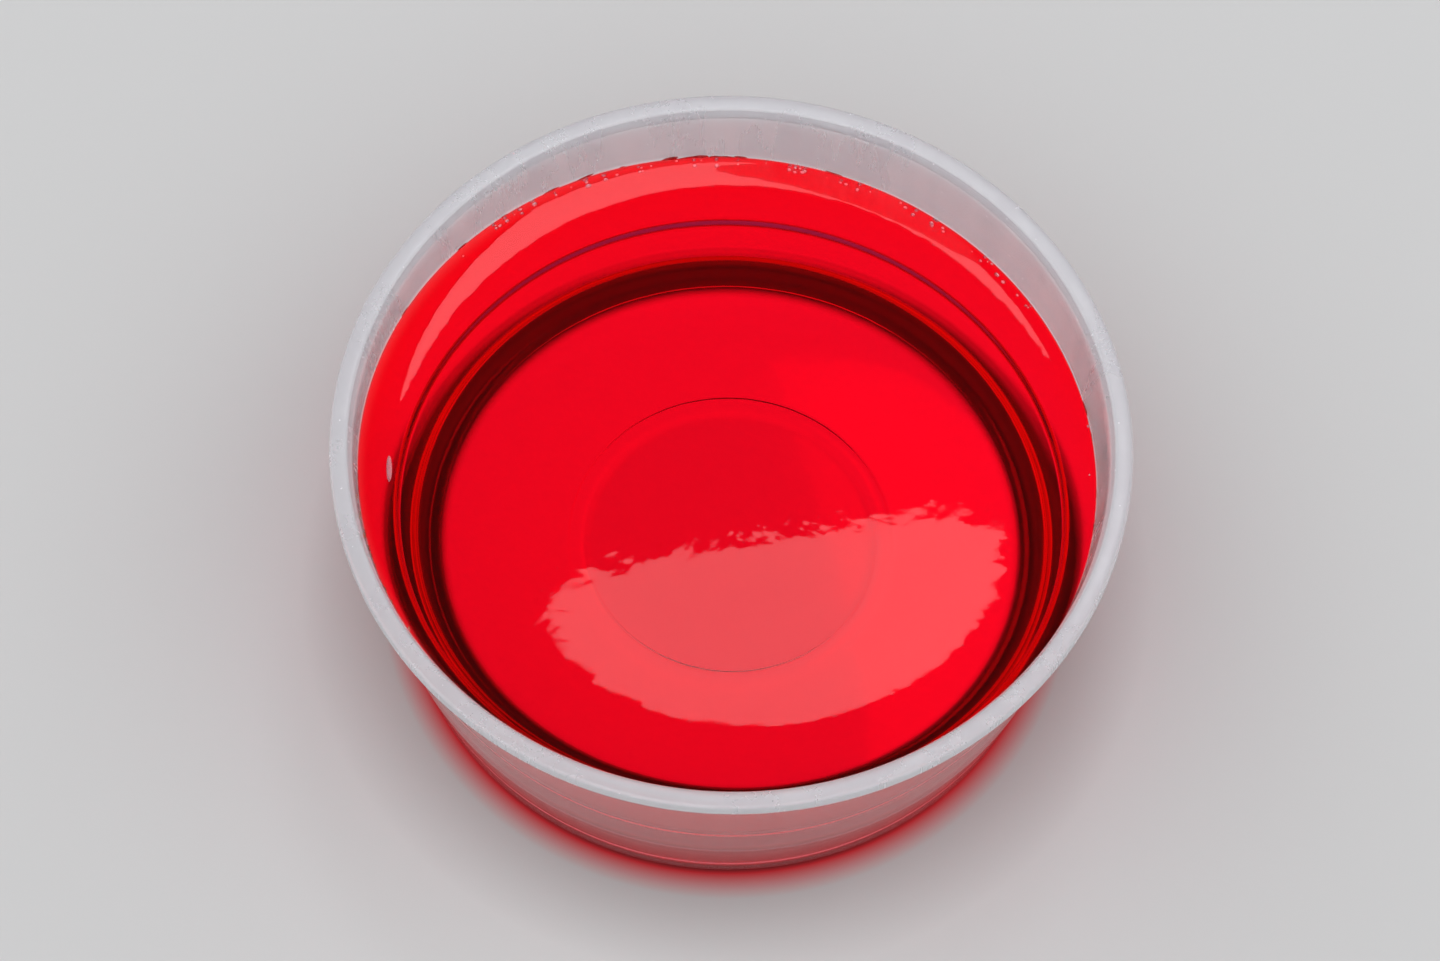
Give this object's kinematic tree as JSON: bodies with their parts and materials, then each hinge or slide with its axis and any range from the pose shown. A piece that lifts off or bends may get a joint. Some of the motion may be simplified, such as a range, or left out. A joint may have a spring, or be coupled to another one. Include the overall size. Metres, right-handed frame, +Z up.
{
  "type": "jelly dessert in a clear plastic tub",
  "caption": "Clear red jelly set in a round, tapered clear plastic tub with a turned-out rim and a stacking ledge low on its wall; the jelly's surface lies a little aslant.",
  "frame": {"origin": "centre of the tub's foot, on the table", "axes": "+Z up along the tub's axis; -Y towards the eater; the jelly's surface is lowest towards +X and +Y"},
  "size_m": [0.118, 0.118, 0.047],
  "materials": {
    "clear_tub": "clear, slightly milky polypropylene",
    "red_jelly": "wet, clear, deep red"
  },
  "bodies": {
    "root": {"tub": "clear_tub", "jelly": "red_jelly"}
  },
  "joints": []
}
